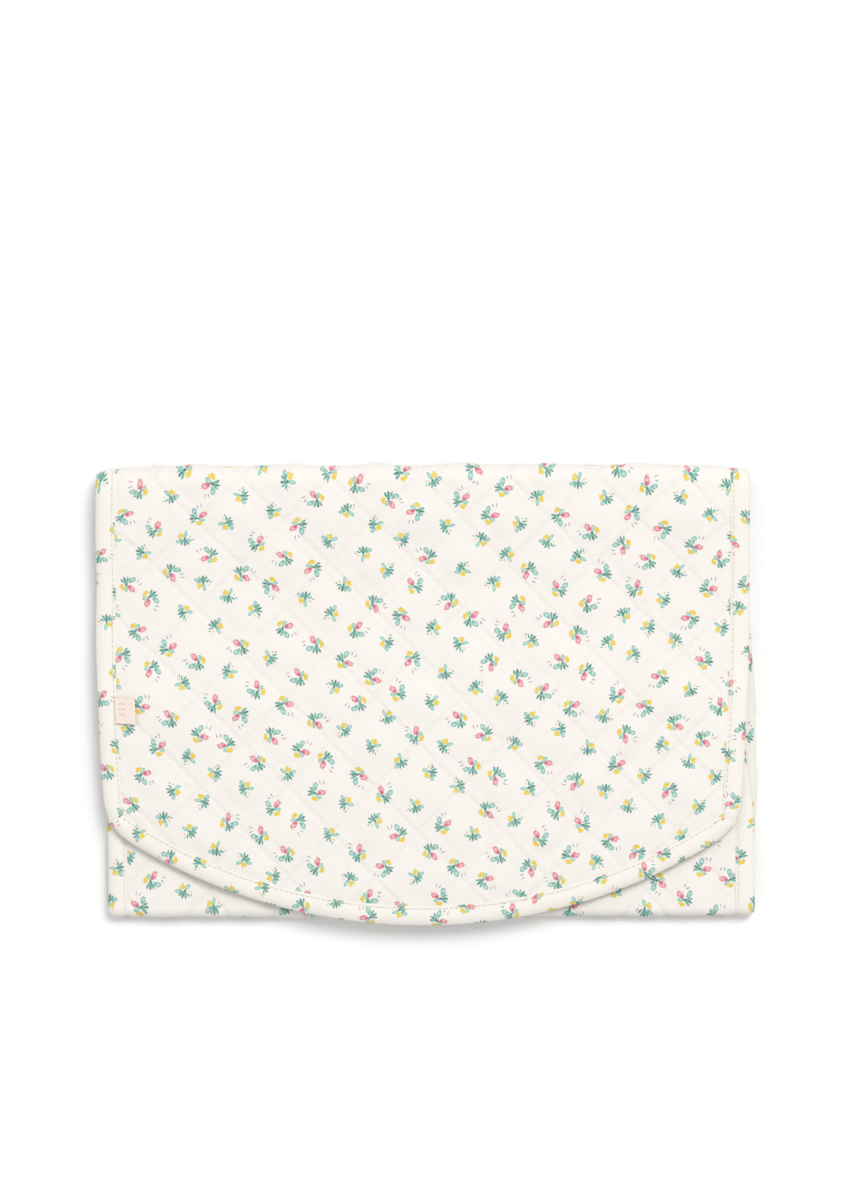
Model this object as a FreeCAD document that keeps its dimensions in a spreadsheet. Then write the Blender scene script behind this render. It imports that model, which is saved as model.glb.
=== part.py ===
"""Quilted changing pad, folded in three for carrying.

One long bound mat lies folded with its outer cover out. The middle panel rests on the
floor, the short lower panel is folded up over it from the front, and the flap, whose free
edge is a shallow arc, is folded down over both from the back. Millimetres, +X across the
width, +Y towards the flap's fold, +Z up. The origin is the middle of the underside.
"""

import FreeCAD
import Part
import Sketcher
from FreeCAD import Placement, Rotation, Vector

import os
from math import asin, atan2, degrees, radians, sqrt

SIZES = {
    "pad_width": 415,
    "pad_depth": 285,  # fold to fold, as it lies folded
    "flap_overhang": 5,  # how far the arc's tip stands out past the front fold
    "flap_sagitta": 62,  # depth of the arc across the whole width
    "lower_length": 130,  # flat length of the lower panel
    "quilt_thickness": 6.5,
    "cloth_thickness": 0.8,
    "binding_width": 12.5,
    "binding_round": 1.2,
    "panel_gap": 0.5,  # between the middle and lower panels
    "flap_gap": 2.6,  # between the lower panel and the flap, room for the closure
    "patch_width": 60,
    "patch_depth": 20,
    "patch_height": 1,
    "patch_corner": 4,
    "patch_from_tip": 38,  # from the arc's tip to the middle of the patches
    "label_width": 12.5,
    "label_depth": 16,
    "label_height": 0.9,
    "label_round": 0.4,
    "label_from_fold": 153,  # from the flap's fold to the label's far edge
}

doc = FreeCAD.newDocument("changing_pad")
sheet = doc.addObject("Spreadsheet::Sheet", "sizes")
for row, (alias, value) in enumerate(SIZES.items(), start=1):
    sheet.set(f"A{row}", alias)
    sheet.set(f"B{row}", str(value))
    sheet.setAlias(f"B{row}", alias)
doc.recompute()

# Expressions that several pieces share.
WIDTH = "sizes.pad_width"
QUILT = "sizes.quilt_thickness"
CLOTH = "sizes.cloth_thickness"
BINDING = "sizes.binding_width"
BATTING = f"({QUILT} - 2 * {CLOTH})"
INNER_WIDTH = f"({WIDTH} - 2 * {BINDING})"
LOWER_Z = f"({QUILT} + sizes.panel_gap)"
FLAP_Z = f"({LOWER_Z} + {QUILT} + sizes.flap_gap)"
BACK_RADIUS = f"(({FLAP_Z} + {QUILT}) / 2)"
FRONT_RADIUS = f"(({LOWER_Z} + {QUILT}) / 2)"
BACK = f"((sizes.pad_depth + sizes.flap_overhang) / 2)"
FRONT = f"({BACK} - sizes.pad_depth)"
BACK_FOLD_Y = f"({BACK} - {BACK_RADIUS})"  # where the back fold begins
FRONT_FOLD_Y = f"({FRONT} + {FRONT_RADIUS})"  # where the front fold begins
TIP_Y = f"({FRONT} - sizes.flap_overhang)"
LOWER_END = f"({FRONT_FOLD_Y} + sizes.lower_length)"
ARC_RADIUS = (
    f"(({WIDTH} / 2 * {WIDTH} / 2 + sizes.flap_sagitta * sizes.flap_sagitta)"
    " / (2 * sizes.flap_sagitta))"
)
ARC_Y = f"({TIP_Y} + {ARC_RADIUS})"  # centre of the arc

KNIFE = 60  # size of the blocks that cut the mitres
MARGIN_DEGREES = 4  # how far the arc's strip runs past its mitres before they are cut
FLIP = {
    (1, 1): Rotation(),
    (-1, 1): Rotation(Vector(0, 1, 0), 180),
    (1, -1): Rotation(Vector(1, 0, 0), 180),
    (-1, -1): Rotation(Vector(0, 0, 1), 180),
}
ALONG_X = Rotation(Vector(0, 1, 0), 90)
PARALLEL = 0.99  # an edge lies along an axis from this much of its tangent
SAME_PLACE = 0.01

nodes = []


def number(expression):
    """What an expression comes to with the sheet's present sizes."""
    return float(sheet.evalExpression(expression.replace("sizes.", "")))


def node(obj, label):
    """Mark an object as a finished sub-part."""
    obj.Label = label
    nodes.append(obj)
    return obj


def place(obj, x, y, z, rotation=None):
    """Bind an object's place to the sheet."""
    obj.Placement = Placement(Vector(), rotation or Rotation())
    for axis, expression in zip("xyz", (x, y, z)):
        obj.setExpression(f"Placement.Base.{axis}", str(expression))
    return obj


def box(name, x_size, y_size, z_size, x, y, z):
    """A box with its low corner at x, y, z."""
    obj = doc.addObject("Part::Box", name)
    for side, expression in zip(("Length", "Width", "Height"), (x_size, y_size, z_size)):
        obj.setExpression(side, expression)
    return place(obj, x, y, z)


def boolean(kind, name, base, tool):
    """A Part::Cut or Part::Common of two objects."""
    obj = doc.addObject(f"Part::{kind}", name)
    obj.Base = base
    obj.Tool = tool
    return obj


def centred_box(name, width, y_from, y_to, z, height):
    """A box centred on the width, from y_from to y_to."""
    return box(name, width, f"{y_to} - {y_from}", height, f"-{width} / 2", y_from, z)


def layers(cover_up):
    """The three layers of a panel from the bottom up, as (name, width, height above it)."""
    low, high = ("lining", "cover") if cover_up else ("cover", "lining")
    inner = f"{WIDTH} - 2 * {CLOTH}"
    return [
        (low, INNER_WIDTH, "0", CLOTH),
        ("batting", f"({inner})", CLOTH, BATTING),
        (high, INNER_WIDTH, f"({QUILT} - {CLOTH})", CLOTH),
    ]


def channel(body, x_offset, z_offset):
    """Sketch of a binding's section: a folded tape, open towards the panel.

    x_offset and z_offset take the section's open side and underside away from the
    sketch's origin, for the strips that are revolved about it.
    """
    sketch = body.newObject("Sketcher::SketchObject", body.Name + "_section")
    plane = next(f for f in body.Origin.OriginFeatures if f.Role == "XZ_Plane")
    sketch.AttachmentSupport = (plane, [""])
    sketch.MapMode = "FlatFace"
    x, z = number(x_offset), number(z_offset)
    wide, high = number(BINDING), number(QUILT)
    cloth, bend = number(CLOTH), number("sizes.binding_round")
    corners = [
        (0, 0), (wide - bend, 0), (wide, bend), (wide, high - bend), (wide - bend, high),
        (0, high), (0, high - cloth), (wide - cloth, high - cloth), (wide - cloth, cloth),
        (0, cloth),
    ]  # fmt: skip
    points = [Vector(x + px, z + pz, 0) for px, pz in corners]
    bends = {1: (bend, -90), 3: (high - bend, 0)}  # corner: (centre's height, first angle)
    edges = []
    for i, start in enumerate(points):
        if i in bends:
            centre_z, first = bends[i]
            circle = Part.Circle(Vector(x + wide - bend, z + centre_z, 0), Vector(0, 0, 1), bend)
            edge = Part.ArcOfCircle(circle, radians(first), radians(first + 90))
        else:
            edge = Part.LineSegment(start, points[(i + 1) % len(points)])
        edges.append(sketch.addGeometry(edge))
    constrain_channel(sketch, edges, x_offset, z_offset)
    return sketch


def constrain_channel(sketch, edges, x_offset, z_offset):
    """Tie the section's edges together and bind its sizes to the sheet."""

    def add(*what):
        return sketch.addConstraint(Sketcher.Constraint(*what))

    count = len(edges)
    for i in range(count):
        following = (i + 1) % count
        if 1 in (i, following) or 3 in (i, following):
            add("Tangent", edges[i], 2, edges[following], 1)
        else:
            add("Coincident", edges[i], 2, edges[following], 1)
    for i in (0, 4, 6, 8):
        add("Horizontal", edges[i])
    for i in (2, 5, 7, 9):
        add("Vertical", edges[i])
    add("Equal", edges[1], edges[3])
    add("Equal", edges[5], edges[9])
    sized = [
        ("outer", ("DistanceX", edges[0], 1, edges[2], 1), BINDING),
        ("high", ("DistanceY", edges[0], 1, edges[4], 2), QUILT),
        ("leg", ("DistanceY", edges[9], 2, edges[9], 1), CLOTH),
        ("wall", ("DistanceX", edges[7], 1, edges[2], 1), CLOTH),
        ("bend", ("Radius", edges[1]), "sizes.binding_round"),
        ("across", ("DistanceX", -1, 1, edges[0], 1), x_offset),
        ("up", ("DistanceY", -1, 1, edges[0], 1), z_offset),
    ]
    for name, what, expression in sized:
        index = add(*what, number(expression))
        sketch.renameConstraint(index, name)
        sketch.setExpression(f"Constraints.{name}", expression)


def straight_binding(name, side, y_from, y_to, z):
    """A straight strip along one side edge, of section centred on its own height."""
    body = doc.addObject("PartDesign::Body", name)
    sketch = channel(body, "0", f"-{QUILT} / 2")
    pad = body.newObject("PartDesign::Pad", name + "_pad")
    pad.Profile = sketch
    pad.setExpression("Length", f"{y_to} - {y_from}")
    sketch.Visibility = False
    if side < 0:
        rotation, y = Rotation(Vector(0, 0, 1), 180), y_from
    else:
        rotation, y = Rotation(), y_to
    return place(body, f"{side} * {INNER_WIDTH} / 2", y, f"{z} + {QUILT} / 2", rotation)


def fold_binding(name, side, back, y, radius):
    """A strip round a fold: the section turned half a turn about the fold's centre.

    The fold stands on the floor, so its centre is as high as its outer radius.
    """
    body = doc.addObject("PartDesign::Body", name)
    sketch = channel(body, "0", f"-{radius}")
    turn = body.newObject("PartDesign::Revolution", name + "_turn")
    turn.Profile = sketch
    turn.ReferenceAxis = (sketch, ["H_Axis"])
    turn.Angle = 180
    sketch.Visibility = False
    rotation = FLIP[(side, 1 if back else -1)]
    return place(body, f"{side} * {INNER_WIDTH} / 2", y, radius, rotation)


def half_ring(name, back, width, y, z, outer, inner):
    """One layer round a fold: half a tube along the width."""
    rotation = ALONG_X if back else FLIP[(1, -1)].multiply(ALONG_X)
    tubes = []
    for part, radius in (("outer", outer), ("inner", inner)):
        tube = doc.addObject("Part::Cylinder", f"{name}_{part}")
        tube.setExpression("Radius", radius)
        tube.setExpression("Height", width)
        tube.Angle = 180 if part == "outer" else 360
        tubes.append(place(tube, f"-{width} / 2", y, z, rotation))
    return boolean("Cut", name, *tubes)


def fold(prefix, back, y, radius):
    """Cover, batting, lining and both side bindings of one fold."""
    inner_radius = f"({radius} - {QUILT})"
    rings = [
        ("cover", INNER_WIDTH, radius, f"({radius} - {CLOTH})"),
        ("batting", f"({WIDTH} - 2 * {CLOTH})", f"({radius} - {CLOTH})", f"({inner_radius} + {CLOTH})"),
        ("lining", INNER_WIDTH, f"({inner_radius} + {CLOTH})", inner_radius),
    ]
    for layer, width, outer, inner in rings:
        label = f"{prefix}_{layer}"
        node(half_ring(label, back, width, y, radius, outer, inner), label)
    for word, side in (("left", -1), ("right", 1)):
        label = f"{prefix}_{word}_binding"
        node(fold_binding(label, side, back, y, radius), label)


def mitre(name, side, corner, inner_corner, keep_tip):
    """A block whose face is the mitre plane; it takes away one side of the mitre."""
    turn = degrees(atan2(inner_corner.y - corner.y, inner_corner.x - corner.x))
    obj = doc.addObject("Part::Box", name)
    obj.Length = obj.Width = obj.Height = KNIFE
    on_tip_side = (side > 0) != keep_tip
    rotation = Rotation(Vector(0, 0, 1), turn)
    shift = rotation.multVec(Vector(-KNIFE / 2, 0 if on_tip_side else -KNIFE, -KNIFE / 2))
    obj.Placement = Placement(corner + shift, rotation)
    return obj


def middle_panel():
    """The panel that lies on the floor, cover down, between the two folds."""
    for layer, width, z, height in layers(cover_up=False):
        label = f"middle_{layer}"
        node(centred_box(label, width, FRONT_FOLD_Y, BACK_FOLD_Y, z, height), label)
    for word, side in (("left", -1), ("right", 1)):
        label = f"middle_{word}_binding"
        node(straight_binding(label, side, FRONT_FOLD_Y, BACK_FOLD_Y, "0"), label)


def lower_panel():
    """The short panel over the middle one, with a bound free edge across it."""
    for layer, width, z, height in layers(cover_up=True):
        label = f"lower_{layer}"
        inset = CLOTH if layer == "batting" else BINDING
        end = f"({LOWER_END} - {inset})"
        node(centred_box(label, width, FRONT_FOLD_Y, end, f"({LOWER_Z} + {z})", height), label)
    end_y, half = number(LOWER_END), number(WIDTH) / 2
    wide = number(BINDING)
    z = number(LOWER_Z)
    end_strip = straight_binding("lower_end_strip", 1, "0", WIDTH, LOWER_Z)
    turned = Rotation(Vector(0, 0, 1), 90)
    place(end_strip, f"-{WIDTH} / 2", f"{LOWER_END} - {BINDING}", f"{LOWER_Z} + {QUILT} / 2", turned)
    for word, side in (("left", -1), ("right", 1)):
        label = f"lower_{word}_binding"
        corner = Vector(side * half, end_y, z)
        inner_corner = corner + Vector(-side * wide, -wide, 0)
        strip = straight_binding(f"{label}_strip", side, FRONT_FOLD_Y, LOWER_END, LOWER_Z)
        knife = mitre(f"{label}_knife", side, corner, inner_corner, keep_tip=True)
        node(boolean("Cut", label, strip, knife), label)
        knife = mitre(f"lower_end_{word}_knife", side, corner, inner_corner, keep_tip=False)
        end_strip = boolean("Cut", f"lower_end_cut_{word}", end_strip, knife)
    node(end_strip, "lower_end_binding")


def arc_block(name, width, inset, z, height):
    """A flap layer: a box whose front edge is the flap's arc, inset from its outline."""
    block = centred_box(f"{name}_block", width, TIP_Y, BACK_FOLD_Y, z, height)
    disc = doc.addObject("Part::Cylinder", f"{name}_disc")
    disc.setExpression("Radius", f"{ARC_RADIUS} - {inset}")
    disc.setExpression("Height", height)
    place(disc, "0", ARC_Y, z)
    return boolean("Common", name, block, disc)


def flap():
    """The top panel, with its arc-shaped bound front edge."""
    for layer, width, z, height in layers(cover_up=True):
        label = f"flap_{layer}"
        inset = CLOTH if layer == "batting" else BINDING
        node(arc_block(label, width, inset, f"({FLAP_Z} + {z})", height), label)
    half, wide = number(WIDTH) / 2, number(BINDING)
    radius, arc_y, z = number(ARC_RADIUS), number(ARC_Y), number(FLAP_Z)
    corner_y = arc_y - sqrt(radius**2 - half**2)
    inner_y = arc_y - sqrt((radius - wide) ** 2 - (half - wide) ** 2)
    arc_strip = doc.addObject("PartDesign::Body", "flap_arc_strip")
    sketch = channel(arc_strip, f"({ARC_RADIUS} - {BINDING})", f"-{QUILT} / 2")
    turn = arc_strip.newObject("PartDesign::Revolution", "flap_arc_strip_turn")
    turn.Profile = sketch
    turn.ReferenceAxis = (sketch, ["V_Axis"])
    turn.Midplane = True
    turn.Angle = 2 * (degrees(asin(half / radius)) + MARGIN_DEGREES)
    sketch.Visibility = False
    place(arc_strip, "0", ARC_Y, f"{FLAP_Z} + {QUILT} / 2", Rotation(Vector(0, 0, 1), -90))
    for word, side in (("left", -1), ("right", 1)):
        label = f"flap_{word}_binding"
        corner = Vector(side * half, corner_y, z)
        inner_corner = Vector(side * (half - wide), inner_y, z)
        strip = straight_binding(f"{label}_strip", side, f"({TIP_Y} + {BINDING})", BACK_FOLD_Y, FLAP_Z)
        knife = mitre(f"{label}_knife", side, corner, inner_corner, keep_tip=False)
        node(boolean("Cut", label, strip, knife), label)
        knife = mitre(f"flap_arc_{word}_knife", side, corner, inner_corner, keep_tip=True)
        arc_strip = boolean("Cut", f"flap_arc_cut_{word}", arc_strip, knife)
    node(arc_strip, "flap_curved_binding")


def rounded_block(name, block, radius, chosen):
    """A block with the edges that chosen() picks rounded."""
    doc.recompute()
    rounded = doc.addObject("Part::Fillet", name)
    rounded.Base = block
    size = number(radius)
    edges = enumerate(block.Shape.Edges, start=1)
    rounded.Edges = [(i, size, size) for i, edge in edges if chosen(edge)]
    return rounded


def upright(edge):
    """Is this edge vertical?"""
    return abs(edge.tangentAt(edge.FirstParameter).z) > PARALLEL


def patches():
    """Hook patch under the flap and loop patch on the lower panel, one above the other."""
    y = f"({TIP_Y} + sizes.patch_from_tip - sizes.patch_depth / 2)"
    heights = {
        "hook_patch": f"({FLAP_Z} - sizes.patch_height)",
        "loop_patch": f"({LOWER_Z} + {QUILT})",
    }
    for label, z in heights.items():
        block = box(
            f"{label}_block", "sizes.patch_width", "sizes.patch_depth", "sizes.patch_height",
            "-sizes.patch_width / 2", y, z,
        )  # fmt: skip
        node(rounded_block(label, block, "sizes.patch_corner", upright), label)


def side_label():
    """The small folded label that comes out of the flap's left seam."""
    left = number(f"-{INNER_WIDTH} / 2")
    free = left + number("sizes.label_width")
    block = box(
        "side_label_block", "sizes.label_width", "sizes.label_depth", "sizes.label_height",
        f"-{INNER_WIDTH} / 2", f"{BACK_FOLD_Y} - sizes.label_from_fold", f"{FLAP_Z} + {QUILT}",
    )  # fmt: skip

    def at_free_end(edge):
        along_y = abs(edge.tangentAt(edge.FirstParameter).y) > PARALLEL
        return along_y and abs(edge.CenterOfMass.x - free) < SAME_PLACE

    node(rounded_block("side_label", block, "sizes.label_round", at_free_end), "side_label")


def export():
    """Check every object, then write one STEP file per sub-part."""
    doc.recompute()
    for obj in doc.Objects:
        bad = {"Invalid", "Error"} & set(obj.State)
        if bad:
            raise RuntimeError(f"{obj.Label}: {bad}")
    os.makedirs("parts", exist_ok=True)
    for obj in nodes:
        shape = obj.Shape
        if shape.isNull() or not shape.isValid() or len(shape.Solids) != 1:
            raise RuntimeError(f"{obj.Label} isn't one valid solid")
        shape.exportStep(f"parts/{obj.Label}.step")
        extent = shape.optimalBoundingBox(False)
        print(
            f"{obj.Label:26s} {shape.Volume:10.1f} mm3"
            f"  x {extent.XMin:8.2f} {extent.XMax:8.2f}  y {extent.YMin:8.2f} {extent.YMax:8.2f}"
            f"  z {extent.ZMin:6.2f} {extent.ZMax:6.2f}"
        )


middle_panel()
fold("back_fold", True, BACK_FOLD_Y, BACK_RADIUS)
flap()
patches()
side_label()
fold("front_fold", False, FRONT_FOLD_Y, FRONT_RADIUS)
lower_panel()
export()
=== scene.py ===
"""Folded quilted changing pad: cloth, bindings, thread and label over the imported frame.

The pad is one long strip of quilt. Every soft piece is worked out on that strip as it
would lie flat, with u across it, s along it from the flap's tip to the lower panel's
bound end and h above its middle plane, and lay() then puts it where it lies folded.
"""

import math

import bpy
import numpy as np
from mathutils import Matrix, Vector, noise


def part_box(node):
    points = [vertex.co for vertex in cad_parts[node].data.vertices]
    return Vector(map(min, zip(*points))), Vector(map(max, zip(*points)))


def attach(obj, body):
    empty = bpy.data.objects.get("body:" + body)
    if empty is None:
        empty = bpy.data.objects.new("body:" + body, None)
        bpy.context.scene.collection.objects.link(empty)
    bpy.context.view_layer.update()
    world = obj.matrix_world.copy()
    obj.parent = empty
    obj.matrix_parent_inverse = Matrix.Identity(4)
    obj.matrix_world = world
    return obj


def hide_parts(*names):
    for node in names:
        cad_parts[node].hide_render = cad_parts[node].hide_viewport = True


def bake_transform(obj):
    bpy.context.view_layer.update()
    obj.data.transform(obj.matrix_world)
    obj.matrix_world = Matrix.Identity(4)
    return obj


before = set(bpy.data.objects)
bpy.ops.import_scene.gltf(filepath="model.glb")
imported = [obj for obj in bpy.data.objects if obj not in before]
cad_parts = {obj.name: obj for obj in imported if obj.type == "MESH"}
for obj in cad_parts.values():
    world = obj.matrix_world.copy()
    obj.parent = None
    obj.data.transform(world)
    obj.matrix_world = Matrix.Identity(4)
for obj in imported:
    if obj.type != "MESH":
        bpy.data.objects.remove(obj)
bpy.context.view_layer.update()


# ------------------------------------------------------------------ sizes from the frame
def low_high(node):
    """A node's lowest and highest corners as arrays."""
    low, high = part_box(node)
    return np.array(low), np.array(high)


ARC_LOW, ARC_HIGH = low_high("flap_curved_binding")
BACK_LOW, BACK_HIGH = low_high("back_fold_cover")
FRONT_HIGH = low_high("front_fold_cover")[1]
HALF = ARC_HIGH[0]  # half the pad's width
TIP_Y = ARC_LOW[1]
QUILT = ARC_HIGH[2] - ARC_LOW[2]  # thickness of the quilt
SEAM = HALF - low_high("flap_cover")[1][0]  # width of the bindings
BACK_Y, FRONT_Y = BACK_LOW[1], FRONT_HIGH[1]  # where the two folds begin
BACK_Z, FRONT_Z = BACK_HIGH[2] / 2, FRONT_HIGH[2] / 2  # heights of their centres
BACK_R, FRONT_R = BACK_Z - QUILT / 2, FRONT_Z - QUILT / 2  # radii of the middle plane
LOWER_END_Y = low_high("lower_end_binding")[1][1]
CORNER_Y = low_high("flap_left_binding")[0][1]  # the flap's corners
SAGITTA = CORNER_Y - TIP_Y
ARC_R = (HALF**2 + SAGITTA**2) / (2 * SAGITTA)

# Places along the strip.
S_BACK = BACK_Y - TIP_Y
S_UNDER = S_BACK + math.pi * BACK_R
S_FRONT = S_UNDER + BACK_Y - FRONT_Y
S_LOWER = S_FRONT + math.pi * FRONT_R
S_END = S_LOWER + LOWER_END_Y - FRONT_Y
S_CUTS = [0, (S_BACK + S_UNDER) / 2, (S_UNDER + S_FRONT) / 2, (S_FRONT + S_LOWER) / 2, S_END]

# Cloth and stitching.
CLOTH = 0.0006  # thickness of one layer of cotton
SEAM_DIP = 0.0011  # how far the quilt is drawn down along the seams
STITCH_DIP = 0.0014  # and along the quilting
PUFF = 0.0021  # how far the diamonds stand up between the lines
PUFF_SHAPE = 0.4  # how squarely, less being squarer
WRINKLE = 0.00022  # height of the fine wrinkles
PITCH = 0.0561  # of the quilting's diagonals, across and along the strip
LINE_U = 0.0248  # where two of them cross
LINE_S = -0.0022 - TIP_Y

STRETCHES = ["flap", "middle_back", "middle_front", "lower"]


def smooth(x, low, high):
    """Smoothstep of x from low to high."""
    t = np.clip((x - low) / (high - low), 0, 1)
    return t * t * (3 - 2 * t)


# ------------------------------------------------------------------ the folded shape
def profile(s):
    """The strip's middle plane folded up: y, z and the outward normal at s."""
    s = np.asarray(s, float)
    back = math.pi / 2 - (s - S_BACK) / BACK_R
    front = -math.pi / 2 - (s - S_FRONT) / FRONT_R
    zones = [s <= S_BACK, s <= S_UNDER, s <= S_FRONT, s <= S_LOWER]
    y = np.select(
        zones,
        [
            TIP_Y + s,
            BACK_Y + BACK_R * np.cos(back),
            BACK_Y - (s - S_UNDER),
            FRONT_Y + FRONT_R * np.cos(front),
        ],
        FRONT_Y + s - S_LOWER,
    )
    z = np.select(
        zones,
        [
            BACK_Z + BACK_R + 0 * s,
            BACK_Z + BACK_R * np.sin(back),
            BACK_Z - BACK_R + 0 * s,
            FRONT_Z + FRONT_R * np.sin(front),
        ],
        FRONT_Z + FRONT_R,
    )
    ny = np.select(zones, [0 * s, np.cos(back), 0 * s, np.cos(front)], 0)
    nz = np.select(zones, [1 + 0 * s, np.sin(back), -1 + 0 * s, np.sin(front)], 1)
    return y, z, ny, nz


def flat_noise(u, s, size, seed):
    """Smooth noise over the strip, about -1 to 1, with features of a given size."""
    u, s = np.broadcast_arrays(np.asarray(u, float), np.asarray(s, float))
    flat = [noise.noise((a / size, b / size, seed)) for a, b in zip(u.ravel(), s.ravel())]
    return np.array(flat).reshape(u.shape)


class Waves:
    """The same noise read from a grid, so that dense meshes are quick to make."""

    STEP = 0.004

    def __init__(self, size, seed):
        self.u = np.arange(-HALF - 0.01, HALF + 0.01, self.STEP)
        self.s = np.arange(-0.02, S_END + 0.02, self.STEP)
        self.grid = flat_noise(self.u[None, :], self.s[:, None], size, seed)

    def __call__(self, u, s):
        return sample(self.grid, self.u, self.s, u, s)


def sample(grid, us, ss, u, s):
    """Bilinear reading of a grid (rows along s) at u, s."""
    u, s = np.broadcast_arrays(np.asarray(u, float), np.asarray(s, float))
    i = np.clip((u - us[0]) / (us[1] - us[0]), 0, len(us) - 1.001)
    j = np.clip((s - ss[0]) / (ss[1] - ss[0]), 0, len(ss) - 1.001)
    i0, j0 = i.astype(int), j.astype(int)
    a, b = i - i0, j - j0
    low = grid[j0, i0] * (1 - a) + grid[j0, i0 + 1] * a
    high = grid[j0 + 1, i0] * (1 - a) + grid[j0 + 1, i0 + 1] * a
    return low * (1 - b) + high * b


BROAD, SOFT, FINE = Waves(0.11, 3.1), Waves(0.045, 7.7), Waves(0.016, 12.3)

# Soft creases: (x, y, direction in degrees, half length, half width, depth).
CREASES = [
    (0.037, -0.084, 92, 0.024, 0.0030, 0.0007),
    (0.149, -0.074, 88, 0.014, 0.0026, 0.0006),
    (-0.042, -0.106, 87, 0.012, 0.0024, 0.0006),
    (0.118, -0.052, 47, 0.050, 0.0055, 0.0008),
    (0.150, -0.020, 43, 0.042, 0.0060, 0.0007),
    (0.086, -0.092, 40, 0.040, 0.0050, 0.0007),
    (-0.150, -0.060, 128, 0.036, 0.0060, 0.0005),
    (-0.095, 0.110, 15, 0.060, 0.0080, 0.0005),
]


def creases(x, y):
    """Height of the soft creases on the flap."""
    height = 0
    for cx, cy, turn, length, width, depth in CREASES:
        c, d = math.cos(math.radians(turn)), math.sin(math.radians(turn))
        along = (x - cx) * c + (y - cy) * d
        across = (y - cy) * c - (x - cx) * d
        bend = along + 0.15 * across
        height = height - depth * np.exp(-((bend / length) ** 2) - (across / width) ** 2)
        lift = np.exp(-((bend / length) ** 2) - ((across - 1.8 * width) / width) ** 2)
        height = height + 0.5 * depth * lift
    return height


# How unevenly the folded pad lies, in metres where it isn't a share of the width.
DRAWN_IN = 0.0096  # share that the quilting takes up
TAPER, TAPER_START = 0.0305, 0.130  # share lost towards the flap's corners, and where it begins
LOWER_WIDTH = 0.9815  # share that the lower panel has
LOWER_RIGHT, FLAP_LEFT = 0.0035, 0.0020  # how far the two are shifted
EDGE_WAVE = 0.0007  # unevenness of the long edges
TUCKED = 0.0075  # how far in the lower panel's hidden right corner lies
SWELL = 0.0028  # how far the middle panel bulges out on the right
CORNER_PULL, CORNER_SIZE = 0.0030, 0.010  # rounding of the flap's corners
BACK_BOUND, BACK_PULL = 0.163, 0.0075  # where the back fold's ends begin to be drawn in, how far
BACK_SLANT, BACK_WAVE = 0.0026, 0.0006
FRONT_BOUND, FRONT_PULL = 0.186, 0.0004  # the same for the front fold
FRONT_SLACK, FRONT_SLANT = 0.0005, 0.0013
SAG, CORNER_SAG = 0.0034, 0.0009  # of the flap behind the lower panel's end, and at its corners
BROAD_RIPPLE, SOFT_RIPPLE = 0.0006, 0.00035


def across(u, s, y, on_flap):
    """Sideways place: the flap narrows to its corners and the lower layers lie to the right."""
    low = np.where(s > S_LOWER, 1, smooth(s, S_UNDER - 0.002, S_LOWER))
    reach = np.clip((TAPER_START - y) / (TAPER_START - CORNER_Y), 0, 1)
    width = 1 - DRAWN_IN - TAPER * reach**2.7 * on_flap
    width = width * (1 - low) + LOWER_WIDTH * low
    x = u * width + LOWER_RIGHT * low - FLAP_LEFT * (1 - low)
    x = x + EDGE_WAVE * np.abs(u / HALF) ** 3 * SOFT(np.sign(u) * 0.02, s)
    tucked = TUCKED * smooth(y, FRONT_Y + 0.045, LOWER_END_Y - 0.010)
    swell = SWELL * smooth(-y, -0.055, 0.010) * (1 - smooth(-y, 0.060, 0.115))
    in_middle = (s > S_UNDER) & (s <= S_FRONT)
    bulge = np.where(in_middle, swell, 0) - np.where(s > S_LOWER, tucked, 0)
    return x + bulge * smooth(u, 0.45 * HALF, HALF)


def past(u, start):
    """0 up to a distance from the middle, rising to 1 at the pad's edge."""
    return np.clip((np.abs(u) - start) / (HALF - start), 0, 1) ** 2


def at_folds(u, s, y, on_flap):
    """Place along the floor: the folds bulge between their bound ends."""
    pull = BACK_PULL * past(u, BACK_BOUND)
    pull = pull + BACK_SLANT * smooth(-u, -0.06, 0.16) + BACK_WAVE * BROAD(u, 0.30)
    back = smooth(y, BACK_Y - 0.075, BACK_Y + 0.012) * (s < S_FRONT)
    y = y - np.maximum(pull, -0.0002) * back * (0.4 + 0.6 * on_flap)
    pull = FRONT_PULL * past(u, FRONT_BOUND) + BACK_WAVE * BROAD(u, 0.6)
    slack = FRONT_SLACK + FRONT_SLANT * smooth(-u, -0.10, 0.15)
    front = smooth(-y, -FRONT_Y - 0.04, -FRONT_Y + 0.004) * (s > S_UNDER)
    return y + (pull - slack) * front


def flap_rise(u, s, x, y):
    """Height of the flap over its plane: it sags where nothing holds it up."""
    edge = np.abs(u) / HALF
    gap = smooth(y, LOWER_END_Y - 0.012, LOWER_END_Y + 0.055) * (1 - smooth(y, 0.062, 0.128))
    corners = smooth(np.abs(u), 0.10, HALF) * (1 - smooth(y, -0.09, 0.0))
    sag = SAG * gap * (1 - 0.25 * edge**2) + CORNER_SAG * corners
    ripple = BROAD_RIPPLE * BROAD(u, s) + SOFT_RIPPLE * SOFT(u, s) * (0.4 + edge**2)
    return smooth(-s, -S_BACK, -S_BACK + 0.03) * (ripple - sag + creases(x, y))


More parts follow.
